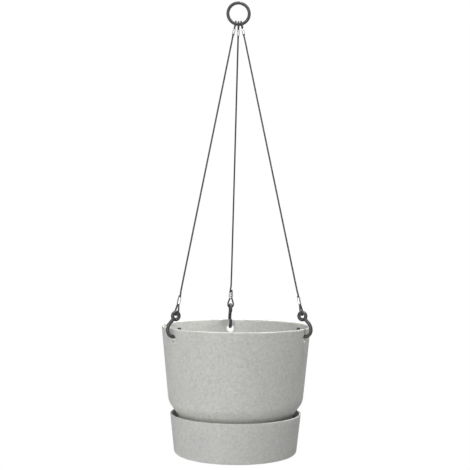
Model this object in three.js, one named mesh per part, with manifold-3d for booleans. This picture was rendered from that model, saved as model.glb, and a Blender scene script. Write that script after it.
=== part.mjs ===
// Hanging basket: a round two-piece self-watering planter on three eye-ended wire ropes and one ring.
// Millimetres, +Z up. The origin is the bearing point at the ring's inside top; +Y is towards the back rope.
import * as THREE from 'three';
import { mergeVertices } from 'three/addons/utils/BufferGeometryUtils.js';
import Module from 'manifold-3d';

const wasm = await Module();
wasm.setup();

// Driving dimensions: pot
const rimDiameter = 239; // outside, at the rim
const potWall = 3;
const edgeRound = 1.2; // on the rim of the pot and the lip of the saucer
const draft = 0.098; // radius lost per millimetre of depth, on pot and saucer alike
const bodyDepth = 113.5; // rim to the start of the shoulder
const shoulderRound = 26;
const shoulderAngle = 35; // degrees from vertical
const neckStep = 16.4; // how far the neck stands in from the wall
const neckRound = 6;
const neckAngle = 4; // degrees from vertical
const floorRound = 4;
const bedRound = 2; // inside, where the neck meets the floor
const sumpDiameter = 52; // the well that dips into the water
const sumpChamfer = 1;
const sumpFit = 0.6; // gap between the sump and the saucer's floor
const drainDiameter = 7;
const drainCount = 6; // in the floor, and again in the sump
const footDiameter = 9;
const footInset = 18; // from the neck to the middle of a foot
const ribWidth = 14;
const ribHeight = 14;
const ribDrop = 11; // lip of the saucer to the top of a rib
const rimHoleDiameter = 12.5;
const rimHoleDepth = 15; // rim to the hole's centre

// Driving dimensions: saucer
const saucerWall = 3;
const saucerGap = 9.8; // open ring for watering, between the neck and the saucer's lip
const saucerDrop = 26; // start of the pot's shoulder to the saucer's lip
const saucerHeight = 64.3;
const saucerCorner = 6;
const saucerBedRound = 3;
const reservoirHeight = 7.6; // floor of the saucer to the floor of the pot
const footRingWidth = 9;
const panelRecess = 1.2; // how far the underside stands in from the foot ring
const seatFit = 0.3; // gap between the pot's feet and the saucer's floor
const ribFit = 0.4; // gap between the pot's ribs and the saucer's wall

// Driving dimensions: ring and hooks
const ringWire = 5;
const ringOpening = 29.5;
const hookWire = 5.5;
const hookEyeOpening = 5.9;
const hookMouth = 15.6; // inside the bend that goes through the rim hole
const hookSeat = 0.8; // gap over the bend at the hole's top edge
const hookLean = 0.8; // how far the bend's centre stands outside the middle of the wall
const hookTip = 2.8; // straight end above the bend's centre
const eyeInset = 4; // the eye's centre stands this far inside the bend's centre
const eyeRise = 21.45; // and this far above it
const shankAngle = 46; // degrees below level, where the shank leaves the eye
const shankEase = 8; // length of the curve's handles at both ends of the shank

// Driving dimensions: ropes and ferrules
const ropeDiameter = 2.7;
const ropeReach = 478.49; // ring bar to hook eye, middle to middle
const loopGap = 2.3; // between neighbouring ropes on the ring
const loopFit = 0.35; // gap between a loop and what it goes round
const strandFit = 0.1; // gap between the two strands in a ferrule
const upperLoop = 9.3; // middle of the ring's bar to the ferrule
const lowerLoop = 13.3; // middle of the hook's wire to the ferrule
const upperFerrule = 8.5;
const lowerFerrule = 10;
const ferruleWall = 0.5;
const ferruleFit = 0.15;
const tailLength = 3.5; // rope end past a ferrule
const tailAcross = 0.1; // how far the cut end springs away from the rope
// An eye's side, from the ferrule to its widest place: how far along towards the ferrule, and how
// wide, each as a share of its greatest.
const eyeSide = [[0.92, 0.07], [0.6, 0.52], [0.27, 0.95], [0, 1]];
// Below a ferrule the rope comes in to its own line: how far past it, and the share still across.
const ropeEase = [[5, 0.6], [10, 0.1], [15, 0]];

// How finely round shapes are cut
const lathes = 60;
const pegSides = 20;
const wireSides = 8;
const ringSteps = 40;
const eyeSteps = 24;
const shankSteps = 8;
const bendSteps = 12;

const azimuths = { back: 90, left: 210, right: 330 }; // of the ropes; feet and ribs lie between them
const betweenRopes = 60;
const radians = THREE.MathUtils.degToRad;

// Levels below the pot's rim, and radii from its axis
const rimRadius = rimDiameter / 2;
const wallAt = (depth) => rimRadius - draft * depth; // outside radius of the pot's wall
const slope = THREE.MathUtils.radToDeg(Math.atan(draft));
const neckRadius = wallAt(bodyDepth) - neckStep;
const lipDepth = bodyDepth + saucerDrop;
const lipRadius = neckRadius + saucerGap + saucerWall;
const saucerFloorDepth = lipDepth + saucerHeight - panelRecess - saucerWall;
const floorDepth = saucerFloorDepth - reservoirHeight;
const sumpDepth = saucerFloorDepth - sumpFit;

// Where the hooks sit, and where the ropes start and end
const ringRadius = (ringOpening + ringWire) / 2;
const ringCentreZ = -ringOpening / 2;
const hookEyeRadius = (hookEyeOpening + hookWire) / 2;
const hookBend = (hookMouth + hookWire) / 2;
const holeTop = rimHoleDepth - rimHoleDiameter / 2;
const bendRadius = wallAt(holeTop) - potWall / 2 + hookLean;
const bendHeight = hookMouth / 2 - hookSeat - holeTop; // above the rim
const eyeRadius = bendRadius - eyeInset;
const eyeHeight = bendHeight + eyeRise;
const barBend = (ringWire + ropeDiameter) / 2 + loopFit;
const eyeBend = (hookWire + ropeDiameter) / 2 + loopFit;
const rimZ = ringCentreZ - ringRadius - Math.sqrt(ropeReach ** 2 - eyeRadius ** 2) - eyeHeight;

const planterPlastic = new THREE.MeshStandardMaterial({ color: 0xb4b4b0, roughness: 0.8 });
const saucerPlastic = new THREE.MeshStandardMaterial({ color: 0xb7b7b3, roughness: 0.8 });
const powderCoat = new THREE.MeshStandardMaterial({ color: 0x4a4b4c, roughness: 0.55, metalness: 0.2 });
const ropeCoat = new THREE.MeshStandardMaterial({ color: 0x6b6b6b, roughness: 0.6 });
const aluminium = new THREE.MeshStandardMaterial({ color: 0xc9cacb, roughness: 0.35, metalness: 1 });

function toSolid(geometry) {
  const bare = geometry.clone();
  bare.deleteAttribute('normal');
  bare.deleteAttribute('uv');
  const merged = mergeVertices(bare, 1e-4);
  return new wasm.Manifold(
    new wasm.Mesh({
      numProp: 3,
      vertProperties: new Float32Array(merged.attributes.position.array),
      triVerts: new Uint32Array(merged.index.array),
    }),
  );
}

function toGeometry(solid) {
  const mesh = solid.getMesh();
  const geometry = new THREE.BufferGeometry();
  geometry.setAttribute('position', new THREE.BufferAttribute(mesh.vertProperties, 3));
  geometry.setIndex(new THREE.BufferAttribute(mesh.triVerts, 1));
  geometry.computeVertexNormals();
  return geometry;
}

function named(name, geometry, material) {
  const mesh = new THREE.Mesh(geometry, material);
  mesh.name = name;
  return mesh;
}

// Points of an arc, angles in degrees from +r towards +z.
function arc(r, z, radius, from, to, steps) {
  return Array.from({ length: steps + 1 }, (_, i) => {
    const angle = radians(from + ((to - from) * i) / steps);
    return new THREE.Vector2(r + radius * Math.cos(angle), z + radius * Math.sin(angle));
  });
}

// A profile of (radius, height) points, walked up the outside and down the inside, turned about Z.
function turned(profile) {
  return new THREE.LatheGeometry(profile, lathes).rotateX(Math.PI / 2);
}

// A round wire along a path; the path's own parameter spaces its sections.
function wireAlong(path, diameter, steps) {
  path.getUtoTmapping = (u) => u;
  const section = new THREE.Shape(
    Array.from({ length: wireSides }, (_, i) => {
      const angle = (2 * Math.PI * i) / wireSides;
      return new THREE.Vector2((diameter / 2) * Math.cos(angle), (diameter / 2) * Math.sin(angle));
    }),
  );
  return new THREE.ExtrudeGeometry(section, { steps, extrudePath: path, bevelEnabled: false });
}

// A cylinder whose middle is at the given radius, azimuth and height; upright, or lying along the radius.
function peg(diameter, length, radius, azimuth, height, upright) {
  const geometry = new THREE.CylinderGeometry(diameter / 2, diameter / 2, length, pegSides);
  if (upright) geometry.rotateX(Math.PI / 2);
  else geometry.rotateZ(Math.PI / 2);
  return toSolid(geometry.translate(radius, 0, height).rotateZ(radians(azimuth)));
}

// The pot's shoulder and neck, set in from the outside by a thickness, from the top down.
function potLine(inset) {
  const centreR = wallAt(bodyDepth) - shoulderRound * Math.cos(radians(slope));
  const centreZ = -bodyDepth + shoulderRound * Math.sin(radians(slope));
  const coneR = centreR + shoulderRound * Math.cos(radians(shoulderAngle));
  const coneZ = centreZ - shoulderRound * Math.sin(radians(shoulderAngle));
  const endR = neckRadius + neckRound * (1 - Math.cos(radians(shoulderAngle)));
  const endZ = coneZ - (coneR - endR) / Math.tan(radians(shoulderAngle));
  const turnR = endR + neckRound * Math.cos(radians(shoulderAngle));
  const turnZ = endZ - neckRound * Math.sin(radians(shoulderAngle));
  return [
    ...arc(centreR, centreZ, shoulderRound - inset, -slope, -shoulderAngle, 5),
    ...arc(turnR, turnZ, neckRound + inset, 180 - shoulderAngle, 180 - neckAngle, 3),
  ];
}

// Radius of the neck below that line, at a depth.
function neckAt(depth, inset) {
  const top = potLine(inset).at(-1);
  return top.x - Math.tan(radians(neckAngle)) * (top.y + depth);
}

// A rounded edge from the outer face over the top to the inner one.
const overEdge = (radius, wall) => [
  ...arc(radius - edgeRound, -edgeRound, edgeRound, -slope, 90, 3),
  ...arc(radius - wall + edgeRound, -edgeRound, edgeRound, 90, 180 + slope, 3),
];

// Inside radius of the saucer's wall, at a depth below its lip.
const saucerInside = (depth) => lipRadius - saucerWall - draft * depth;

function makePot() {
  const bedDepth = floorDepth - potWall;
  const bedRadius = neckAt(bedDepth, potWall);
  const floorRadius = neckAt(floorDepth, 0);
  const sumpRadius = sumpDiameter / 2;
  let pot = toSolid(
    turned([
      new THREE.Vector2(0, -sumpDepth),
      new THREE.Vector2(sumpRadius - sumpChamfer, -sumpDepth),
      new THREE.Vector2(sumpRadius, -sumpDepth + sumpChamfer),
      new THREE.Vector2(sumpRadius, -floorDepth),
      ...arc(floorRadius - floorRound, -floorDepth + floorRound, floorRound, -90, -neckAngle, 3),
      ...potLine(0).reverse(),
      ...overEdge(rimRadius, potWall),
      ...potLine(potWall),
      ...arc(bedRadius - bedRound, -bedDepth + bedRound, bedRound, -neckAngle, -90, 2),
      new THREE.Vector2(sumpRadius - potWall, -bedDepth),
      new THREE.Vector2(sumpRadius - potWall, -sumpDepth + potWall),
      new THREE.Vector2(0, -sumpDepth + potWall),
    ]),
  );

  // Three feet stand on the saucer's floor, and three ribs grip its wall.
  const footRadius = floorRadius - footInset;
  const footTop = -floorDepth + potWall / 2;
  const footBottom = -saucerFloorDepth + seatFit;
  const ribBottomDepth = lipDepth + ribDrop + ribHeight;
  const ribOut = saucerInside(ribDrop + ribHeight) - ribFit;
  const ribIn = neckAt(ribBottomDepth, 0) - potWall / 2;
  for (const ropeAzimuth of Object.values(azimuths)) {
    const azimuth = ropeAzimuth + betweenRopes;
    const middle = (footTop + footBottom) / 2;
    pot = pot.add(peg(footDiameter, footTop - footBottom, footRadius, azimuth, middle, true));
    const rib = new THREE.BoxGeometry(ribOut - ribIn, ribWidth, ribHeight);
    rib.translate((ribOut + ribIn) / 2, 0, -ribBottomDepth + ribHeight / 2);
    pot = pot.add(toSolid(rib.rotateZ(radians(azimuth))));
  }

  // Rim holes for the hooks, and drain holes in the floor and in the sump.
  const cut = 6 * potWall; // longer than any wall is thick
  for (const azimuth of Object.values(azimuths)) {
    const middle = wallAt(rimHoleDepth) - potWall / 2;
    pot = pot.subtract(peg(rimHoleDiameter, cut, middle, azimuth, -rimHoleDepth, false));
  }
  for (let i = 0; i < drainCount; i++) {
    const azimuth = (360 * i) / drainCount;
    const drainRadius = (sumpRadius + footRadius) / 2;
    pot = pot.subtract(peg(drainDiameter, cut, drainRadius, azimuth, -floorDepth, true));
    pot = pot.subtract(peg(drainDiameter, cut, sumpRadius / 2, azimuth, -sumpDepth, true));
  }
  return toGeometry(pot);
}

function makeSaucer() {
  const footRadius = lipRadius - draft * saucerHeight - saucerCorner;
  const panelRadius = footRadius - footRingWidth;
  const bedDepth = saucerHeight - panelRecess - saucerWall;
  const bedRadius = saucerInside(bedDepth - saucerBedRound) - saucerBedRound;
  return turned([
    new THREE.Vector2(0, -saucerHeight + panelRecess),
    new THREE.Vector2(panelRadius - panelRecess, -saucerHeight + panelRecess),
    new THREE.Vector2(panelRadius, -saucerHeight),
    ...arc(footRadius, -saucerHeight + saucerCorner, saucerCorner, -90, -slope, 4),
    ...overEdge(lipRadius, saucerWall),
    ...arc(bedRadius, -bedDepth + saucerBedRound, saucerBedRound, 0, -90, 3),
    new THREE.Vector2(0, -bedDepth),
  ]);
}

// The hook lies in its own XZ plane: +X outwards from the pot's axis, Z from the pot's rim.
function makeHook() {
  const away = new THREE.Vector3(Math.cos(radians(shankAngle)), 0, -Math.sin(radians(shankAngle)));
  const up = new THREE.Vector3(0, 0, 1);
  const eye = new THREE.Vector3(eyeRadius, 0, eyeHeight);
  const ring = new THREE.TorusGeometry(hookEyeRadius, hookWire / 2, wireSides, eyeSteps);
  ring.rotateX(Math.PI / 2).translate(eye.x, eye.y, eye.z);
  const start = eye.clone().addScaledVector(away, hookEyeRadius);
  const bulge = new THREE.Vector3(bendRadius + hookBend, 0, bendHeight);
  const shank = new THREE.CubicBezierCurve3(
    start,
    start.clone().addScaledVector(away, shankEase),
    bulge.clone().addScaledVector(up, shankEase),
    bulge,
  );
  const bend = arc(bendRadius, bendHeight, hookBend, 0, -180, bendSteps);
  const points = [
    ...shank.getPoints(shankSteps),
    ...bend.slice(1).map((p) => new THREE.Vector3(p.x, 0, p.y)),
    new THREE.Vector3(bendRadius - hookBend, 0, bendHeight + hookTip),
  ];
  const wire = wireAlong(new THREE.CatmullRomCurve3(points), hookWire, points.length - 1);
  return toGeometry(toSolid(ring).add(toSolid(wire)));
}

// One eye of a rope as (along, across) places: along runs from the middle of what the eye goes
// round towards the ferrule and on down the rope, from the cut end round the eye to the rope.
function eyeRoute(bend, loop, ferrule) {
  const strand = (ropeDiameter + strandFit) / 2;
  const end = loop + ferrule;
  const side = [
    [end, strand],
    [loop, strand],
    ...eyeSide.map(([along, wide]) => [loop * along, strand + (bend - strand) * wide]),
    [-bend * Math.SQRT1_2, bend * Math.SQRT1_2],
  ];
  return [
    [end + tailLength, -strand - tailAcross],
    ...side.map(([along, across]) => [along, -across]),
    [-bend, 0],
    ...side.reverse(),
    ...ropeEase.map(([past, share]) => [end + past, strand * share]),
  ];
}

// Where one rope runs: its two pins (ring bar and hook eye), its direction, and each eye's cross axis.
function ropeFrame(azimuth, loopX) {
  const angle = radians(azimuth);
  const outwards = new THREE.Vector3(Math.cos(angle), Math.sin(angle), 0);
  const bar = new THREE.Vector3(loopX, 0, ringCentreZ - Math.sqrt(ringRadius ** 2 - loopX ** 2));
  const eye = outwards.clone().multiplyScalar(eyeRadius).setZ(rimZ + eyeHeight);
  const down = eye.clone().sub(bar).normalize();
  const barTangent = new THREE.Vector3(-(bar.z - ringCentreZ), 0, loopX).normalize();
  const upperAcross = new THREE.Vector3().crossVectors(barTangent, down).normalize();
  const tangent = new THREE.Vector3(-outwards.y, outwards.x, 0);
  const lowerNormal = new THREE.Vector3().crossVectors(tangent, down).normalize();
  const lowerAcross = new THREE.Vector3().crossVectors(down, lowerNormal).normalize();
  const pin = eye.clone().addScaledVector(down, -hookEyeRadius);
  return { bar, pin, down, up: down.clone().negate(), upperAcross, lowerAcross };
}

function makeRope(frame) {
  const place = (origin, along, across) => ([s, a]) =>
    origin.clone().addScaledVector(along, s).addScaledVector(across, a);
  const upper = eyeRoute(barBend, upperLoop, upperFerrule);
  const lower = eyeRoute(eyeBend, lowerLoop, lowerFerrule).reverse();
  const points = [
    ...upper.map(place(frame.bar, frame.down, frame.upperAcross)),
    ...lower.map(place(frame.pin, frame.up, frame.lowerAcross)),
  ];
  return wireAlong(new THREE.CatmullRomCurve3(points), ropeDiameter, 2 * (points.length - 1));
}

// An oval sleeve round two strands: its length along Z from 0, its width along X.
function makeFerrule(length) {
  const half = (ropeDiameter + strandFit) / 2;
  const hole = ropeDiameter / 2 + ferruleFit;
  const oval = (Outline, radius) =>
    new Outline().absarc(half, 0, radius, -Math.PI / 2, Math.PI / 2).absarc(
      -half, 0, radius, Math.PI / 2, (3 * Math.PI) / 2,
    );
  const section = oval(THREE.Shape, hole + ferruleWall);
  section.holes.push(oval(THREE.Path, hole));
  return new THREE.ExtrudeGeometry(section, { depth: length, bevelEnabled: false, curveSegments: 8 });
}

// Stands a ferrule on a rope's line, its width along the eye it closes.
function ferruleAt(name, length, pin, along, across, apex) {
  const mesh = named(name, makeFerrule(length), aluminium);
  const third = new THREE.Vector3().crossVectors(along, across);
  mesh.quaternion.setFromRotationMatrix(new THREE.Matrix4().makeBasis(across, third, along));
  mesh.position.copy(pin).addScaledVector(along, apex);
  return mesh;
}

const basket = new THREE.Group();

const ring = named(
  'hanging_ring',
  new THREE.TorusGeometry(ringRadius, ringWire / 2, wireSides, ringSteps),
  powderCoat,
);
ring.rotation.x = Math.PI / 2;
ring.position.z = ringCentreZ;
basket.add(ring);

const planter = new THREE.Group();
planter.position.z = rimZ;
basket.add(planter);
planter.add(named('pot', makePot(), planterPlastic));
const saucer = named('reservoir_saucer', makeSaucer(), saucerPlastic);
saucer.position.z = -lipDepth;
planter.add(saucer);

const loopPitch = ropeDiameter + loopGap;
const loopPlaces = { left: -loopPitch, back: 0, right: loopPitch };
for (const [side, azimuth] of Object.entries(azimuths)) {
  const hook = named('hook_' + side, makeHook(), powderCoat);
  hook.rotation.z = radians(azimuth);
  planter.add(hook);
  const frame = ropeFrame(azimuth, loopPlaces[side]);
  basket.add(
    named('rope_' + side, makeRope(frame), ropeCoat),
    ferruleAt(
      'upper_ferrule_' + side, upperFerrule, frame.bar, frame.down, frame.upperAcross, upperLoop,
    ),
    ferruleAt(
      'lower_ferrule_' + side, lowerFerrule, frame.pin, frame.up, frame.lowerAcross, lowerLoop,
    ),
  );
}

export default basket;
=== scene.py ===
# Hanging basket: planter, saucer, hooks, ropes, ferrules and ring. Metres, +Z up.
import math

import bpy
from mathutils import Matrix, Vector


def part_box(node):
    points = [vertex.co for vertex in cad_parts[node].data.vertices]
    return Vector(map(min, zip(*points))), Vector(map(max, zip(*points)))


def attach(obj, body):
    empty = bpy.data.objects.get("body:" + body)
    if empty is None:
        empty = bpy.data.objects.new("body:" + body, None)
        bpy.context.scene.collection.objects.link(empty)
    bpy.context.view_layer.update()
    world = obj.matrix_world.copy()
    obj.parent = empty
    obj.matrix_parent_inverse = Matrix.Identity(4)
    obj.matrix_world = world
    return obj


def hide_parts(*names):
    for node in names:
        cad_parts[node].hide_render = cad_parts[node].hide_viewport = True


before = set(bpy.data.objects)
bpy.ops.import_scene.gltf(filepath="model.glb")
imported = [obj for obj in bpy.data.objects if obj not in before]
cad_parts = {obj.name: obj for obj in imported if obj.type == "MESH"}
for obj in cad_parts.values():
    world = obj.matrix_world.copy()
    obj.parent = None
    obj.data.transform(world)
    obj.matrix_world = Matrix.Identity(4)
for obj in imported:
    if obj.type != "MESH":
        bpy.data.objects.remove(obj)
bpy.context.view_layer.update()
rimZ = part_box("pot")[1].z
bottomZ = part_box("reservoir_saucer")[0].z
ringLow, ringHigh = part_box("hanging_ring")
azimuths = {"back": 90, "left": 210, "right": 330}  # of the ropes; feet and ribs lie between them
betweenRopes = 60
up = Vector((0, 0, 1))
mergeDistance = 0.00002


# selecting, editing and finishing
def leaveAll():
    if bpy.context.object and bpy.context.object.mode != "OBJECT":
        bpy.ops.object.mode_set(mode="OBJECT")
    bpy.ops.object.select_all(action="DESELECT")


def pick(piece):
    leaveAll()
    piece.select_set(True)
    bpy.context.view_layer.objects.active = piece


def edit(piece):
    pick(piece)
    bpy.ops.object.mode_set(mode="EDIT")


def newPiece(name):
    piece = bpy.context.object
    piece.name = name
    piece.data.name = name
    return piece


def copyOf(piece, name):
    pick(piece)
    bpy.ops.object.duplicate()
    return newPiece(name)


def settle(piece, angle=35):
    # the place goes into the mesh, and the faces are smoothed
    pick(piece)
    bpy.ops.object.transform_apply(location=True, rotation=True, scale=True)
    bpy.ops.object.shade_smooth_by_angle(angle=math.radians(angle))
    leaveAll()


def useModifier(piece, kind, **settings):
    pick(piece)
    bpy.ops.object.modifier_add(type=kind)
    modifier = piece.modifiers[-1]
    for key, value in settings.items():
        setattr(modifier, key, value)
    bpy.ops.object.modifier_apply(modifier=modifier.name)


def roundEdges(piece, width, segments, angle=30):
    # rounds only the edges sharper than the angle
    limit = math.radians(angle)
    useModifier(piece, "BEVEL", width=width, segments=segments, limit_method="ANGLE", angle_limit=limit)


def combine(piece, other, operation):
    useModifier(piece, "BOOLEAN", object=other, operation=operation, solver="EXACT")
    bpy.data.objects.remove(other)


def selectWhere(piece, test):
    # vertices are chosen by their place
    bpy.ops.object.mode_set(mode="EDIT")
    bpy.ops.mesh.select_all(action="DESELECT")
    bpy.ops.object.mode_set(mode="OBJECT")
    for vertex in piece.data.vertices:
        vertex.select = test(vertex.co)
    bpy.ops.object.mode_set(mode="EDIT")


def outward(azimuth):
    return Vector((math.cos(math.radians(azimuth)), math.sin(math.radians(azimuth)), 0))


def arc(r, z, radius, start, end, steps):
    # places on an arc, in degrees from +r towards +z
    turns = [math.radians(start + (end - start) * i / steps) for i in range(steps + 1)]
    return [(r + radius * math.cos(a), z + radius * math.sin(a)) for a in turns]


def straight(a, b, steps):
    # places between two others on a line
    return [(a[0] + (b[0] - a[0]) * i / steps, a[1] + (b[1] - a[1]) * i / steps) for i in range(1, steps)]


def turnOutline(name, outline, faces):
    # one vertex is drawn along the outline, and the line is spun round Z
    leaveAll()
    r, z = outline[0]
    bpy.ops.mesh.primitive_circle_add(vertices=3, radius=mergeDistance, location=(r, 0, z))
    piece = newPiece(name)
    edit(piece)
    bpy.ops.mesh.merge(type="CENTER")
    for a, b in zip(outline, outline[1:]):
        step = (b[0] - a[0], 0, b[1] - a[1])
        bpy.ops.mesh.extrude_vertices_move(TRANSFORM_OT_translate={"value": step})
    bpy.ops.mesh.select_all(action="SELECT")
    bpy.ops.mesh.spin(steps=faces, angle=2 * math.pi, center=(0, 0, 0), axis=(0, 0, 1))
    bpy.ops.mesh.select_all(action="SELECT")
    bpy.ops.mesh.remove_doubles(threshold=mergeDistance)
    bpy.ops.mesh.normals_make_consistent(inside=False)
    pick(piece)
    bpy.ops.object.transform_apply(location=True, rotation=True, scale=True)
    return piece


# camera
view = {"azimuth": -4.9, "distance": 1.645, "aboveRim": 0.1455, "aside": -0.0030, "lens": 78.3, "roll": -0.45}


def makeCamera():
    place = outward(view["azimuth"] - 90) * view["distance"] + up * (rimZ + view["aboveRim"])
    place += outward(view["azimuth"]) * view["aside"]
    turn = (math.radians(90), math.radians(view["roll"]), math.radians(view["azimuth"]))
    leaveAll()
    bpy.ops.object.camera_add(location=place, rotation=turn)
    camera = bpy.context.object
    camera.name = "camera"
    camera.data.lens = view["lens"]
    camera.data.sensor_width = 36
    bpy.context.scene.camera = camera


makeCamera()
print("camera placed")

# sizes that more than one piece needs
ring = {"wire": ringHigh.y - ringLow.y, "steps": 180, "sides": 28}
ring["radius"] = (ringHigh.z - ringLow.z - ring["wire"]) / 2
ring["centre"] = (ringHigh.z + ringLow.z) / 2
pot = {
    "wall": 0.003,
    "edge": 0.0012,
    "draft": 0.098,
    "bodyDepth": 0.1135,
    "shoulderRound": 0.026,
    "shoulderAngle": 35,
    "neckStep": 0.0164,
    "neckRound": 0.006,
    "neckAngle": 4,
    "floorDepth": 0.192,
    "floorRound": 0.004,
    "bedRound": 0.002,
    "sumpRadius": 0.026,
    "sumpDepth": 0.199,
    "drainRadius": 0.0035,
    "drainCount": 6,
    "footRadius": 0.0045,
    "footInset": 0.018,
    "footBottom": 0.1993,
    "footRound": 0.0008,
    "ribWidth": 0.014,
    "ribHeight": 0.014,
    "ribTop": 0.1505,
    "ribReach": 0.0989,
    "ribLeadIn": 0.003,
    "ribRound": 0.0006,
    "holeRadius": 0.00625,
    "holeDepth": 0.015,
    "holeRound": 0.0006,
    "holeFaces": 48,
    "faces": 240,
}
hook = {
    "wire": 0.0055,
    "sides": 24,
    "degreesPerStep": 6,
    "eye": 0.0057,
    "bend": 0.01055,
    "seat": 0.0008,
    "lean": 0.0008,
    "tip": 0.0028,
    "eyeInset": 0.004,
    "eyeRise": 0.02145,
    "shankAngle": 46,
    "neck": 0.004,
    "closing": 19,
    "endRound": 0.0007,
}
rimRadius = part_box("pot")[1].x


def wallAt(depth):
    return rimRadius - pot["draft"] * depth


bendRadius = wallAt(pot["holeDepth"] - pot["holeRadius"]) - pot["wall"] / 2 + hook["lean"]
bendZ = rimZ - pot["holeDepth"] + pot["holeRadius"] - hook["seat"] + hook["bend"] - hook["wire"] / 2
eyeRadius = bendRadius - hook["eyeInset"]
eyeZ = bendZ + hook["eyeRise"]

# ropes: each runs from its cut end round the ring, down, and round a hook's eye to the other end
rope = {
    "diameter": 0.0027,
    "strands": 6,
    "groove": 0.00019,
    "lay": 0.0165,
    "step": 0.0010,
    "fineSteps": 40,
    "mergeDistance": 0.000005,
    "pointsPerStrand": 6,
    "pitch": 0.005,
    "loopFit": 0.00035,
    "strandFit": 0.0001,
    "upperLoop": 0.0093,
    "lowerLoop": 0.0133,
    "upperFerrule": 0.0085,
    "lowerFerrule": 0.010,
    "tail": 0.0035,
    "tailAcross": 0.0001,
    "eyeSide": [(0.92, 0.07), (0.6, 0.52), (0.27, 0.95), (0, 1)],
    "ease": [(0.005, 0.6), (0.010, 0.1), (0.015, 0)],
}
ropePlaces = {"left": -rope["pitch"], "back": 0, "right": rope["pitch"]}


def eyeRoute(bend, loop, ferrule):
    # one eye as (along, across) places, from the cut end round the eye to the rope
    strand = (rope["diameter"] + rope["strandFit"]) / 2
    end = loop + ferrule
    side = [(end, strand), (loop, strand)]
    side += [(loop * a, strand + (bend - strand) * w) for a, w in rope["eyeSide"]]
    side += [(-bend * math.sqrt(0.5), bend * math.sqrt(0.5))]
    route = [(end + rope["tail"], -strand - rope["tailAcross"])]
    route += [(a, -s) for a, s in side] + [(-bend, 0)] + side[::-1]
    return route + [(end + past, strand * share) for past, share in rope["ease"]]


def ropeFrame(side):
    # the bar and the eye that a rope goes round, its direction, and how its loops lie across it
    x = ropePlaces[side]
    bar = Vector((x, 0, ring["centre"] - math.sqrt(ring["radius"] ** 2 - x**2)))
    out = outward(azimuths[side])
    eye = out * eyeRadius + up * eyeZ
    down = (eye - bar).normalized()
    barTangent = Vector((ring["centre"] - bar.z, 0, x)).normalized()
    upperAcross = barTangent.cross(down).normalized()
    lowerNormal = up.cross(out).cross(down).normalized()
    return bar, eye - down * hook["eye"], down, upperAcross, down.cross(lowerNormal).normalized()


def ropeRoute(side):
    bar, pin, down, upperAcross, lowerAcross = ropeFrame(side)
    barBend = (ring["wire"] + rope["diameter"]) / 2 + rope["loopFit"]
    eyeBend = (hook["wire"] + rope["diameter"]) / 2 + rope["loopFit"]
    upper = eyeRoute(barBend, rope["upperLoop"], rope["upperFerrule"])
    lower = eyeRoute(eyeBend, rope["lowerLoop"], rope["lowerFerrule"])[::-1]
    route = [bar + down * a + upperAcross * s for a, s in upper]
    return route + [pin - down * a + lowerAcross * s for a, s in lower]


def smoothLine(points):
    # a smooth line through all the points, then cut into even steps
    line = [points[0] * 2 - points[1], *points, points[-1] * 2 - points[-2]]
    fine = []
    for a, b, c, d in zip(line, line[1:], line[2:], line[3:]):
        ab, bc, cd = (math.sqrt((q - p).length) for p, q in ((a, b), (b, c), (c, d)))
        leave = ((b - a) / ab - (c - a) / (ab + bc) + (c - b) / bc) * bc
        arrive = ((c - b) / bc - (d - b) / (bc + cd) + (d - c) / cd) * bc
        for t in (i / rope["fineSteps"] for i in range(rope["fineSteps"])):
            near, far = 2 * t**3 - 3 * t**2 + 1, 3 * t**2 - 2 * t**3
            fine.append(b * near + c * far + leave * (t**3 - 2 * t**2 + t) + arrive * (t**3 - t**2))
    fine.append(points[-1])
    length = sum((q - p).length for p, q in zip(fine, fine[1:]))
    count = round(length / rope["step"])
    even, walked, wanted = [fine[0]], 0, length / count
    for p, q in zip(fine, fine[1:]):
        reach = (q - p).length
        while walked + reach >= wanted * len(even) and len(even) < count:
            even.append(p.lerp(q, (wanted * len(even) - walked) / reach))
        walked += reach
    return even + [fine[-1]], length


def makeStrandSection():
    # the rope's cut face: six strands lie round a core, with a groove between each two
    leaveAll()
    count = rope["strands"] * rope["pointsPerStrand"]
    bpy.ops.mesh.primitive_circle_add(vertices=count, radius=rope["diameter"] / 2)
    section = newPiece("strand_section")
    for i, vertex in enumerate(section.data.vertices):
        dip = 1 - math.sqrt(abs(math.cos(math.pi * i / rope["pointsPerStrand"])))
        vertex.co *= 1 - dip * rope["groove"] * 2 / rope["diameter"]
    pick(section)
    bpy.ops.object.convert(target="CURVE")
    return bpy.context.object


def makeRope(side, section):
    path, length = smoothLine(ropeRoute(side))
    leaveAll()
    bpy.ops.curve.primitive_nurbs_path_add()
    piece = newPiece("twisted_rope_" + side)
    curve = piece.data
    curve.splines.clear()
    spline = curve.splines.new("POLY")
    spline.points.add(len(path) - 1)
    for i, (point, place) in enumerate(zip(spline.points, path)):
        point.co = (*place, 1)
        point.tilt = 2 * math.pi * length * i / (len(path) - 1) / rope["lay"]
    curve.dimensions = "3D"
    curve.twist_mode = "MINIMUM"
    curve.bevel_mode = "OBJECT"
    curve.bevel_object = section
    curve.use_fill_caps = True
    pick(piece)
    bpy.ops.object.convert(target="MESH")
    edit(piece)
    bpy.ops.mesh.select_all(action="SELECT")
    bpy.ops.mesh.remove_doubles(threshold=rope["mergeDistance"])
    bpy.ops.mesh.normals_make_consistent(inside=False)
    settle(piece, 50)
    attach(piece, "rope_" + side)
    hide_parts("rope_" + side)
    return piece, path, length


ropes = {}
strandSection = makeStrandSection()
for side in azimuths:
    ropes[side] = makeRope(side, strandSection)
bpy.data.objects.remove(strandSection)
print("ropes laid", [round(length, 4) for _, _, length in ropes.values()])


# ferrules: oval aluminium sleeves, pressed in bands; each length is made once
ferrule = {
    "wall": 0.00055,
    "fit": 0.00015,
    "sides": 48,
    "bands": 3,
    "press": 0.88,
    "spread": 1.03,
    "mouth": 0.0004,
    "bandShape": ((0.14, False), (0.26, True), (0.74, True), (0.86, False)),
    "edgeRound": 0.00018,
}


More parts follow.
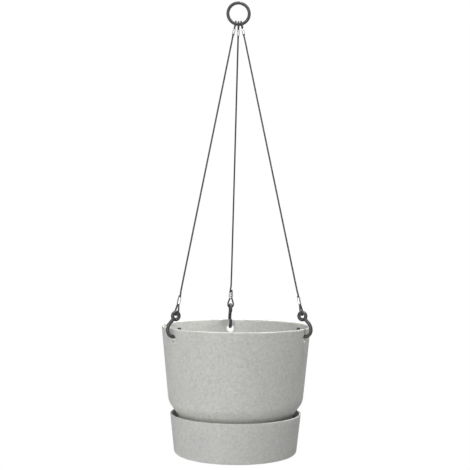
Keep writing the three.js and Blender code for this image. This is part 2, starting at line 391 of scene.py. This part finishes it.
def makeFerrule(name, length):
    # a sleeve that stands on the origin, its oval section drawn in where the tool pressed it
    leaveAll()
    strand = (rope["diameter"] + rope["strandFit"]) / 2
    radius = rope["diameter"] / 2 + ferrule["fit"] + ferrule["wall"]
    bpy.ops.mesh.primitive_circle_add(vertices=ferrule["sides"], radius=radius)
    piece = newPiece(name)
    for sign in (-1, 1):
        selectWhere(piece, lambda co: co.x * sign > mergeDistance)
        bpy.ops.transform.translate(value=(sign * strand, 0, 0))
    bpy.ops.mesh.select_all(action="SELECT")
    pitch = (length - 2 * ferrule["mouth"]) / ferrule["bands"]
    stations = [(ferrule["mouth"], False)]
    for band in range(ferrule["bands"]):
        start = ferrule["mouth"] + band * pitch
        stations += [(start + pitch * share, isPressed) for share, isPressed in ferrule["bandShape"]]
    stations += [(length - ferrule["mouth"], False), (length, False)]
    level, pressed = 0, False
    for height, isPressed in stations:
        bpy.ops.mesh.extrude_region_move(TRANSFORM_OT_translate={"value": (0, 0, height - level)})
        if isPressed != pressed:
            scale = (ferrule["spread"], ferrule["press"], 1)
            if pressed:
                scale = (1 / scale[0], 1 / scale[1], 1)
            bpy.ops.transform.resize(value=scale, center_override=(0, 0, height))
        level, pressed = height, isPressed
    bpy.ops.mesh.select_all(action="SELECT")
    bpy.ops.mesh.normals_make_consistent(inside=False)
    leaveAll()
    useModifier(piece, "SOLIDIFY", thickness=ferrule["wall"], offset=-1)
    roundEdges(piece, ferrule["edgeRound"], 3, 50)
    return piece


def placeFerrule(model, name, side, place, along, across):
    piece = copyOf(model, name)
    turn = Matrix((across, along.cross(across), along)).transposed().to_4x4()
    piece.matrix_world = Matrix.Translation(place) @ turn
    settle(piece, 50)
    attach(piece, "rope_" + side)
    return piece


ferrules = {}
upperModel = makeFerrule("crimped_ferrule_upper", rope["upperFerrule"])
lowerModel = makeFerrule("crimped_ferrule_lower", rope["lowerFerrule"])
for side in azimuths:
    bar, pin, down, upperAcross, lowerAcross = ropeFrame(side)
    place = bar + down * rope["upperLoop"]
    upper = placeFerrule(upperModel, "crimped_ferrule_upper_" + side, side, place, down, upperAcross)
    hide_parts("upper_ferrule_" + side)
    place = pin - down * rope["lowerLoop"]
    lower = placeFerrule(lowerModel, "crimped_ferrule_lower_" + side, side, place, -down, lowerAcross)
    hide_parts("lower_ferrule_" + side)
    ferrules[side] = [upper, lower]
    piece, path, length = ropes[side]
bpy.data.objects.remove(upperModel)
bpy.data.objects.remove(lowerModel)
print("ferrules pressed")


# hooks: each is one wire, bent tip first, so its last bend closes the eye
def bendWire(name, place, heading, runs):
    # runs are ("ahead", length) or ("left" or "right", radius, degrees), in the XZ plane
    leaveAll()
    turn = (0, math.radians(90 - heading), 0)
    bpy.ops.mesh.primitive_circle_add(
        vertices=hook["sides"], radius=hook["wire"] / 2, location=(place[0], 0, place[1]), rotation=turn
    )
    piece = newPiece(name)
    pick(piece)
    bpy.ops.object.transform_apply(location=True, rotation=True, scale=True)
    edit(piece)
    bpy.ops.mesh.select_all(action="SELECT")
    x, z = place
    for run in runs:
        ahead = Vector((math.cos(math.radians(heading)), math.sin(math.radians(heading))))
        if run[0] == "ahead":
            x, z = x + ahead.x * run[1], z + ahead.y * run[1]
            step = (ahead.x * run[1], 0, ahead.y * run[1])
            bpy.ops.mesh.extrude_region_move(TRANSFORM_OT_translate={"value": step})
            continue
        way = 1 if run[0] == "left" else -1
        centre = Vector((x - way * ahead.y * run[1], z + way * ahead.x * run[1]))
        bpy.ops.mesh.spin(
            steps=max(2, round(run[2] / hook["degreesPerStep"])), angle=math.radians(run[2]),
            center=(centre.x, 0, centre.y), axis=(0, way, 0),
        )
        heading += way * run[2]
        x = centre.x + way * math.sin(math.radians(heading)) * run[1]
        z = centre.y - way * math.cos(math.radians(heading)) * run[1]
    bpy.ops.mesh.select_all(action="SELECT")
    bpy.ops.mesh.fill_holes(sides=0)
    bpy.ops.mesh.select_all(action="SELECT")
    bpy.ops.mesh.normals_make_consistent(inside=False)
    leaveAll()
    roundEdges(piece, hook["endRound"], 4, 60)
    return piece


def makeHook():
    rise, back = math.radians(hook["shankAngle"]), math.radians(90 - hook["shankAngle"])
    width, height = hook["eyeInset"] + hook["bend"], hook["eyeRise"]
    # the outer bend's radius, and the straight way from there to the eye's middle
    size = (1 - math.cos(back)) * math.sin(rise) - math.sin(back) * math.cos(rise)
    bulge = (width * math.sin(rise) - height * math.cos(rise)) / size
    reach = ((1 - math.cos(back)) * height - math.sin(back) * width) / size
    lead = hook["eye"] + hook["neck"]
    swerve = math.degrees(math.acos(hook["neck"] / lead))
    closed = 360 - (90 - swerve) - hook["closing"]
    runs = [
        ("ahead", hook["tip"]),
        ("left", hook["bend"], 180),
        ("left", bulge, 90 - hook["shankAngle"]),
        ("ahead", reach - math.sqrt(lead**2 - hook["neck"] ** 2)),
        ("right", hook["neck"], swerve),
        ("left", hook["eye"], closed),
    ]
    tip = (bendRadius - hook["bend"], bendZ + hook["tip"])
    return bendWire("wire_hook", tip, -90, runs)


hooks = {}
firstHook = makeHook()
for side, azimuth in azimuths.items():
    piece = copyOf(firstHook, "wire_hook_" + side)
    piece.rotation_euler.z = math.radians(azimuth)
    settle(piece, 40)
    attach(piece, "hook_" + side)
    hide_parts("hook_" + side)
    hooks[side] = piece
bpy.data.objects.remove(firstHook)
print("hooks bent")


# ring: round wire, butt welded
weld = {"turn": 62, "half": 0.0016, "proud": 0.00028, "bands": (1, 0.6, 0.3)}


def makeRing():
    leaveAll()
    bpy.ops.mesh.primitive_torus_add(
        major_radius=ring["radius"], minor_radius=ring["wire"] / 2,
        major_segments=ring["steps"], minor_segments=ring["sides"],
        location=(0, 0, ring["centre"]), rotation=(math.radians(90), 0, 0),
    )
    piece = newPiece("welded_ring")
    pick(piece)
    bpy.ops.object.transform_apply(location=True, rotation=True, scale=True)
    edit(piece)
    centre = Vector((0, 0, ring["centre"]))
    seam = Vector((math.cos(math.radians(weld["turn"])), 0, math.sin(math.radians(weld["turn"]))))
    along = Vector((-seam.z, 0, seam.x))
    for share in weld["bands"]:
        # each narrower band stands a little prouder, which rounds the bead
        near = weld["half"] * share
        selectWhere(piece, lambda co: abs((co - centre).dot(along)) < near and (co - centre).dot(seam) > 0)
        bpy.ops.transform.shrink_fatten(value=weld["proud"] / len(weld["bands"]))
    settle(piece, 40)
    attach(piece, "ring")
    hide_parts("hanging_ring")
    return piece


hangingRing = makeRing()
print("ring welded")


# pot
slope = math.degrees(math.atan(pot["draft"]))


def potLine(inset):
    # shoulder and neck, set in by a thickness, from the top down
    lean, tilt = math.radians(slope), math.radians(pot["shoulderAngle"])
    centreR = wallAt(pot["bodyDepth"]) - pot["shoulderRound"] * math.cos(lean)
    centreZ = -pot["bodyDepth"] + pot["shoulderRound"] * math.sin(lean)
    coneR = centreR + pot["shoulderRound"] * math.cos(tilt)
    coneZ = centreZ - pot["shoulderRound"] * math.sin(tilt)
    neckR = wallAt(pot["bodyDepth"]) - pot["neckStep"]
    endR = neckR + pot["neckRound"] * (1 - math.cos(tilt))
    endZ = coneZ - (coneR - endR) / math.tan(tilt)
    turnR = endR + pot["neckRound"] * math.cos(tilt)
    turnZ = endZ - pot["neckRound"] * math.sin(tilt)
    shoulder = arc(centreR, centreZ, pot["shoulderRound"] - inset, -slope, -pot["shoulderAngle"], 12)
    neck = arc(
        turnR, turnZ, pot["neckRound"] + inset, 180 - pot["shoulderAngle"], 180 - pot["neckAngle"], 8
    )
    return shoulder + neck


def neckAt(depth, inset):
    r, z = potLine(inset)[-1]
    return r - math.tan(math.radians(pot["neckAngle"])) * (z + depth)


footReach = neckAt(pot["floorDepth"], 0) - pot["footInset"]


def overEdge(radius, wall, edge):
    # a rounded edge from the outer face over the top to the inner one
    outer = arc(radius - edge, -edge, edge, -slope, 90, 8)
    return outer + arc(radius - wall + edge, -edge, edge, 90, 180 + slope, 8)


def potOutline():
    bed, floor, wall = pot["floorDepth"] - pot["wall"], pot["floorDepth"], pot["wall"]
    floorR, bedR = neckAt(floor, 0), neckAt(bed, wall)
    sumpR, sump, small = pot["sumpRadius"], pot["sumpDepth"], pot["edge"]
    outside = [(0, -sump), (sumpR / 2, -sump)]
    outside += arc(sumpR - small, -sump + small, small, -90, 0, 6)
    outside += arc(sumpR + small, -floor - small, small, 180, 90, 6)
    turn = pot["floorRound"]
    outside += arc(floorR - turn, -floor + turn, turn, -90, -pot["neckAngle"], 8)
    outside += potLine(0)[::-1]
    rim = overEdge(rimRadius, wall, pot["edge"])
    outside += straight(outside[-1], rim[0], 14) + rim
    inside = potLine(wall)
    outside += straight(rim[-1], inside[0], 14) + inside
    turn = pot["bedRound"]
    outside += arc(bedR - turn, -bed + turn, turn, -pot["neckAngle"], -90, 6)
    well = sumpR - wall
    outside += arc(well + small, -bed - small, small, 90, 180, 6)
    outside += arc(well - small, -sump + wall + small, small, 0, -90, 6)
    return outside + [(well / 2, -sump + wall), (0, -sump + wall)]


def makeCutter(name, radius, place, turn):
    # a hole's tool, wider at both faces of the wall, which rounds the hole's edges
    half, small = pot["wall"] / 2, pot["holeRound"]
    lower = arc(radius + small, -half + small, small, -90, -180, 5)
    upper = arc(radius + small, half - small, small, 180, 90, 5)
    flare = [(radius + 1.6 * small, half + small / 3), (radius + 3 * small, 4 * half), (0, 4 * half)]
    outline = [(r, -z) for r, z in flare[::-1]] + lower + upper + flare
    cutter = turnOutline(name, outline, pot["holeFaces"])
    cutter.matrix_world = Matrix.Translation(place) @ turn.to_4x4()
    pick(cutter)
    bpy.ops.object.transform_apply(location=True, rotation=True, scale=True)
    return cutter


def makeFoot():
    # a foot, rounded where it stands
    leaveAll()
    footTop = pot["floorDepth"] - pot["wall"] / 2
    middle = (footReach, 0, -(footTop + pot["footBottom"]) / 2)
    bpy.ops.mesh.primitive_cylinder_add(
        vertices=40, radius=pot["footRadius"], depth=pot["footBottom"] - footTop, location=middle
    )
    foot = newPiece("foot")
    roundEdges(foot, pot["footRound"], 4)
    return foot


def makeRib():
    # a rib that grips the saucer, with a sloped lead-in below
    leaveAll()
    inner = neckAt(pot["ribTop"] + pot["ribHeight"], 0) - pot["wall"] / 2
    middle = ((pot["ribReach"] + inner) / 2, 0, -pot["ribTop"] - pot["ribHeight"] / 2)
    bpy.ops.mesh.primitive_cube_add(size=1, location=middle)
    rib = newPiece("rib")
    rib.scale = (pot["ribReach"] - inner, pot["ribWidth"], pot["ribHeight"])
    pick(rib)
    bpy.ops.object.transform_apply(location=False, rotation=False, scale=True)
    selectWhere(rib, lambda co: co.x > 0 and co.z < 0)
    bpy.ops.mesh.bevel(offset=pot["ribLeadIn"], segments=1, affect="EDGES")
    roundEdges(rib, pot["ribRound"], 3)
    return rib


def makePot():
    piece = turnOutline("moulded_pot", potOutline(), pot["faces"])
    for model in (makeFoot(), makeRib()):
        pick(model)
        bpy.ops.object.transform_apply(location=True, rotation=True, scale=True)
        for azimuth in azimuths.values():
            part = copyOf(model, model.name + "_copy")
            part.rotation_euler.z = math.radians(azimuth + betweenRopes)
            combine(piece, part, "UNION")
        bpy.data.objects.remove(model)
    for azimuth in azimuths.values():
        out = outward(azimuth)
        depth = pot["holeDepth"]
        middle = out * (wallAt(depth) - pot["wall"] / 2) - up * depth
        tilt = Matrix.Rotation(math.radians(90 + slope), 3, "Y")
        turn = Matrix.Rotation(math.radians(azimuth), 3, "Z") @ tilt
        combine(piece, makeCutter("hole", pot["holeRadius"], middle, turn), "DIFFERENCE")
    drainCircle = (pot["sumpRadius"] + footReach) / 2
    for i in range(pot["drainCount"]):
        out = outward(360 * i / pot["drainCount"])
        for reach, depth in ((drainCircle, pot["floorDepth"]), (pot["sumpRadius"] / 2, pot["sumpDepth"])):
            middle = out * reach - up * (depth - pot["wall"] / 2)
            combine(piece, makeCutter("drain", pot["drainRadius"], middle, Matrix.Identity(3)), "DIFFERENCE")
    piece.location.z = rimZ
    settle(piece, 35)
    # wide faces keep flat shading beside the small rounds of the holes
    useModifier(piece, "WEIGHTED_NORMAL", keep_sharp=True)
    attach(piece, "planter")
    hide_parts("pot")
    return piece


mouldedPot = makePot()
print("pot moulded", len(mouldedPot.data.polygons))

# saucer
saucer = {
    "radius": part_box("reservoir_saucer")[1].x,
    "lipZ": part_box("reservoir_saucer")[1].z,
    "wall": 0.003,
    "corner": 0.006,
    "bedRound": 0.003,
    "footWidth": 0.009,
    "recess": 0.0012,
    "gate": 0.004,
    "gateDepth": 0.0005,
    "gateSlope": 0.0004,
    "faces": 240,
}


def saucerOutline():
    height, lip, wall = saucer["lipZ"] - bottomZ, saucer["radius"], saucer["wall"]
    corner, recess = saucer["corner"], saucer["recess"]
    footR = lip - pot["draft"] * height - corner
    panelR = footR - saucer["footWidth"]
    bed = height - recess - wall
    bedR = lip - wall - pot["draft"] * (bed - saucer["bedRound"]) - saucer["bedRound"]
    under, gate = -height + recess, saucer["gate"]
    dip = under + saucer["gateDepth"]
    line = [(0, dip), (gate - saucer["gateSlope"], dip), (gate, under)]
    line += straight((gate, under), (panelR - recess, under), 6)
    line += arc(panelR - 2 * recess, under - recess / 2, recess / 2, 90, 45, 3)
    line += [(panelR, -height)]
    line += arc(footR, -height + corner, corner, -90, -slope, 12)
    rim = overEdge(lip, wall, pot["edge"])
    line += straight(line[-1], rim[0], 8) + rim
    bottom = arc(bedR, -bed + saucer["bedRound"], saucer["bedRound"], 0, -90, 8)
    line += straight(rim[-1], bottom[0], 8) + bottom
    return line + straight(bottom[-1], (0, -bed), 6) + [(0, -bed)]


def makeSaucer():
    piece = turnOutline("moulded_saucer", saucerOutline(), saucer["faces"])
    piece.location.z = saucer["lipZ"]
    settle(piece, 35)
    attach(piece, "saucer")
    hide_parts("reservoir_saucer")
    return piece


mouldedSaucer = makeSaucer()
print("saucer moulded", len(mouldedSaucer.data.polygons))


# effects that more than one finish uses
def newGroup(name, inputs, outputs):
    group = bpy.data.node_groups.new(name, "ShaderNodeTree")
    for kind, socket, value in inputs:
        made = group.interface.new_socket(name=socket, in_out="INPUT", socket_type=kind)
        if value is not None:
            made.default_value = value
    for kind, socket in outputs:
        group.interface.new_socket(name=socket, in_out="OUTPUT", socket_type=kind)
    return group, group.nodes.new("NodeGroupInput"), group.nodes.new("NodeGroupOutput")


def link(tree, source, target):
    tree.links.new(source, target)


def addNode(tree, kind, **settings):
    node = tree.nodes.new(kind)
    for key, value in settings.items():
        setattr(node, key, value)
    return node


def mathNode(tree, operation, a, b):
    node = addNode(tree, "ShaderNodeMath", operation=operation)
    for socket, value in zip(node.inputs, (a, b)):
        if isinstance(value, (int, float)):
            socket.default_value = value
        else:
            link(tree, value, socket)
    return node.outputs[0]


def rangeNode(tree, value, low, high, toLow, toHigh):
    node = addNode(tree, "ShaderNodeMapRange", interpolation_type="SMOOTHSTEP")
    link(tree, value, node.inputs["Value"])
    for socket, number in zip(node.inputs[1:5], (low, high, toLow, toHigh)):
        socket.default_value = number
    return node.outputs[0]


def noiseNode(tree, place, scale, detail):
    # the scale is a number or another node's output
    node = addNode(tree, "ShaderNodeTexNoise")
    node.inputs["Detail"].default_value = detail
    link(tree, place, node.inputs["Vector"])
    if isinstance(scale, (int, float)):
        node.inputs["Scale"].default_value = scale
    else:
        link(tree, scale, node.inputs["Scale"])
    return node.outputs[0]


grain = {"fineDetail": 3, "coarseDetail": 2, "coarseShare": 0.07, "contrast": (0.3, 0.7)}
fleck = {"full": 0.15, "gone": 0.55}  # distances from a cell's middle, in cells


def makeGrainGroup():
    # fine surface grain: a mask for gloss and a height for bump
    group, start, end = newGroup(
        "fine_grain",
        [("NodeSocketVector", "Place", None), ("NodeSocketFloat", "Size", 0.0006)],
        [("NodeSocketFloat", "Mask"), ("NodeSocketFloat", "Height")],
    )
    scale = mathNode(group, "DIVIDE", 1, start.outputs["Size"])
    wide = mathNode(group, "MULTIPLY", scale, grain["coarseShare"])
    fine = noiseNode(group, start.outputs["Place"], scale, grain["fineDetail"])
    coarse = noiseNode(group, start.outputs["Place"], wide, grain["coarseDetail"])
    link(group, rangeNode(group, coarse, *grain["contrast"], 0, 1), end.inputs["Mask"])
    link(group, fine, end.inputs["Height"])
    return group


def makeFleckGroup():
    # scattered flecks: some of the cells, each filled near its middle
    group, start, end = newGroup(
        "flecks",
        [
            ("NodeSocketVector", "Place", None),
            ("NodeSocketFloat", "Size", 0.001),
            ("NodeSocketFloat", "Share", 0.3),
        ],
        [("NodeSocketFloat", "Mask")],
    )
    cells = addNode(group, "ShaderNodeTexVoronoi")
    link(group, start.outputs["Place"], cells.inputs["Vector"])
    link(group, mathNode(group, "DIVIDE", 1, start.outputs["Size"]), cells.inputs["Scale"])
    shade = addNode(group, "ShaderNodeSeparateColor")
    link(group, cells.outputs["Color"], shade.inputs[0])
    chosen = mathNode(group, "LESS_THAN", shade.outputs[0], start.outputs["Share"])
    filled = rangeNode(group, cells.outputs["Distance"], fleck["full"], fleck["gone"], 1, 0)
    strength = mathNode(group, "MULTIPLY", chosen, filled)
    link(group, mathNode(group, "MULTIPLY", strength, shade.outputs[1]), end.inputs["Mask"])
    return group


grainGroup, fleckGroup = makeGrainGroup(), makeFleckGroup()


def newMaterial(name, colour, roughness, metallic=0.0):
    material = bpy.data.materials.new(name)
    material.use_nodes = True
    tree = material.node_tree
    shader = tree.nodes["Principled BSDF"]
    shader.inputs["Base Color"].default_value = (*colour, 1)
    shader.inputs["Roughness"].default_value = roughness
    shader.inputs["Metallic"].default_value = metallic
    place = addNode(tree, "ShaderNodeTexCoord").outputs["Object"]
    return material, tree, shader, place


def addGrain(tree, shader, place, size, roughness, depth):
    # grain in gloss and bump; roughness is (smooth places, rough places)
    relief = addNode(tree, "ShaderNodeGroup", node_tree=grainGroup)
    link(tree, place, relief.inputs["Place"])
    relief.inputs["Size"].default_value = size
    link(tree, rangeNode(tree, relief.outputs["Mask"], 0, 1, *roughness), shader.inputs["Roughness"])
    bump = addNode(tree, "ShaderNodeBump")
    bump.inputs["Distance"].default_value = depth
    bump.inputs["Strength"].default_value = 1
    link(tree, relief.outputs["Height"], bump.inputs["Height"])
    link(tree, bump.outputs[0], shader.inputs["Normal"])


def mixColour(tree, factor, a, b):
    node = addNode(tree, "ShaderNodeMix", data_type="RGBA")
    for socket, value in zip((node.inputs[0], node.inputs[6], node.inputs[7]), (factor, a, b)):
        if isinstance(value, tuple):
            socket.default_value = (*value, 1)
        else:
            link(tree, value, socket)
    return node.outputs[2]


plastic = {
    "colour": (0.50, 0.50, 0.487),
    "shade": (0.48, 0.48, 0.469),
    "dark": (0.33, 0.33, 0.32),
    "pale": (0.62, 0.62, 0.605),
    "flecks": ((0.0019, 0.38, "dark", 0.75), (0.0025, 0.32, "pale", 0.75), (0.0042, 0.14, "dark", 0.6)),
    "mottle": 0.0045,
    "mottleDepth": 0.28,
    "cloud": 0.03,
    "glow": 0.9,
    "glowReach": 0.006,
    "glowTint": (1, 1, 0.92),
    "roughness": 0.62,
    "surface": (0.0005, (0.55, 0.68), 0.00006),
}


def makePlastic():
    material, tree, shader, place = newMaterial("speckled_plastic", plastic["colour"], plastic["roughness"])
    cloud = noiseNode(tree, place, 1 / plastic["cloud"], 4)
    colour = mixColour(tree, rangeNode(tree, cloud, 0.3, 0.7, 0, 1), plastic["shade"], plastic["colour"])
    mottle = noiseNode(tree, place, 1 / plastic["mottle"], 2)
    low = rangeNode(tree, mottle, 0.5, 0.3, 0, plastic["mottleDepth"])
    high = rangeNode(tree, mottle, 0.5, 0.7, 0, plastic["mottleDepth"])
    colour = mixColour(tree, high, mixColour(tree, low, colour, plastic["dark"]), plastic["pale"])
    for size, share, tone, strength in plastic["flecks"]:
        spots = addNode(tree, "ShaderNodeGroup", node_tree=fleckGroup)
        link(tree, place, spots.inputs["Place"])
        spots.inputs["Size"].default_value = size
        spots.inputs["Share"].default_value = share
        cover = mathNode(tree, "MULTIPLY", spots.outputs[0], strength)
        colour = mixColour(tree, cover, colour, plastic[tone])
    link(tree, colour, shader.inputs["Base Color"])
    # the wall lets a little light through
    shader.inputs["Subsurface Weight"].default_value = plastic["glow"]
    shader.inputs["Subsurface Radius"].default_value = plastic["glowTint"]
    shader.inputs["Subsurface Scale"].default_value = plastic["glowReach"]
    addGrain(tree, shader, place, *plastic["surface"])
    return material


# plain finishes: colour, roughness, how metallic, and the grain's size, roughness range and depth
powderCoat = ((0.05, 0.051, 0.053), 0.5, 0, (0.0004, (0.38, 0.52), 0.00004))
ropeCoat = ((0.05, 0.05, 0.05), 0.5, 0, (0.0003, (0.4, 0.55), 0.00002))
aluminium = ((0.82, 0.83, 0.84), 0.3, 1, (0.0003, (0.25, 0.42), 0.00002))


def makePlain(name, colour, roughness, metallic, surface):
    material, tree, shader, place = newMaterial(name, colour, roughness, metallic)
    addGrain(tree, shader, place, *surface)
    return material


def paint(piece, material):
    piece.data.materials.clear()
    piece.data.materials.append(material)


plasticFinish = makePlastic()
coatFinish = makePlain("anthracite_powder_coat", *powderCoat)
ropeFinish = makePlain("dark_rope_coat", *ropeCoat)
metalFinish = makePlain("pressed_aluminium", *aluminium)
for piece in (mouldedPot, mouldedSaucer):
    paint(piece, plasticFinish)
for piece in (hangingRing, *hooks.values()):
    paint(piece, coatFinish)
for side in azimuths:
    paint(ropes[side][0], ropeFinish)
    for piece in ferrules[side]:
        paint(piece, metalFinish)
print("finishes made")


# floor, light and surroundings
studio = {
    "floorZ": -1.6,
    "floorRadius": 3.4,
    "floorColour": (0.86, 0.86, 0.86),
    "world": 0.36,
    "worldColour": (1, 1, 0.985, 1),
    "backdrop": 1.0,
}
middle = (0, 0, (rimZ + bottomZ) / 2)
lights = {
    "key_light": {"place": (-1.5, -2.2, 0.45), "aim": middle, "size": 1.6, "power": 33, "spread": 180},
    "front_light": {"place": (-0.5, -2.6, -0.1), "aim": middle, "size": 1.6, "power": 13, "spread": 180},
    "bounce_light": {"place": (-0.9, -1.7, -1.3), "aim": middle, "size": 1.4, "power": 6, "spread": 180},
    "mouth_light": {
        "place": (0.3, -0.05, 0.45), "aim": (-0.04, 0.06, -0.54), "size": 0.4, "power": 0.85, "spread": 30,
    },
}


def makeStudio():
    leaveAll()
    bpy.ops.mesh.primitive_circle_add(
        vertices=96, radius=studio["floorRadius"], fill_type="NGON", location=(0, 0, studio["floorZ"])
    )
    floor = newPiece("studio_floor")
    paint(floor, newMaterial("pale_floor", studio["floorColour"], 0.8)[0])
    world = bpy.data.worlds.new("studio")
    bpy.context.scene.world = world
    world.use_nodes = True
    tree = world.node_tree
    light = tree.nodes["Background"]
    light.inputs["Strength"].default_value = studio["world"]
    light.inputs["Color"].default_value = studio["worldColour"]
    # the camera sees a plain white backdrop
    seen = addNode(tree, "ShaderNodeBackground")
    seen.inputs["Strength"].default_value = studio["backdrop"]
    seen.inputs["Color"].default_value = (1, 1, 1, 1)
    mix = addNode(tree, "ShaderNodeMixShader")
    rays = addNode(tree, "ShaderNodeLightPath")
    link(tree, rays.outputs["Is Camera Ray"], mix.inputs[0])
    link(tree, light.outputs[0], mix.inputs[1])
    link(tree, seen.outputs[0], mix.inputs[2])
    link(tree, mix.outputs[0], tree.nodes["World Output"].inputs[0])


def makeLight(name, spec):
    leaveAll()
    place = Vector(spec["place"])
    turn = (Vector(spec["aim"]) - place).to_track_quat("-Z", "Y").to_euler()
    bpy.ops.object.light_add(type="AREA", location=place, rotation=turn)
    light = bpy.context.object
    light.name = name
    light.data.shape = "DISK"
    light.data.size = spec["size"]
    light.data.energy = spec["power"]
    light.data.spread = math.radians(spec["spread"])


makeStudio()
for name, spec in lights.items():
    makeLight(name, spec)
bpy.context.scene.view_settings.view_transform = "Standard"
print("studio lit")

leaveAll()
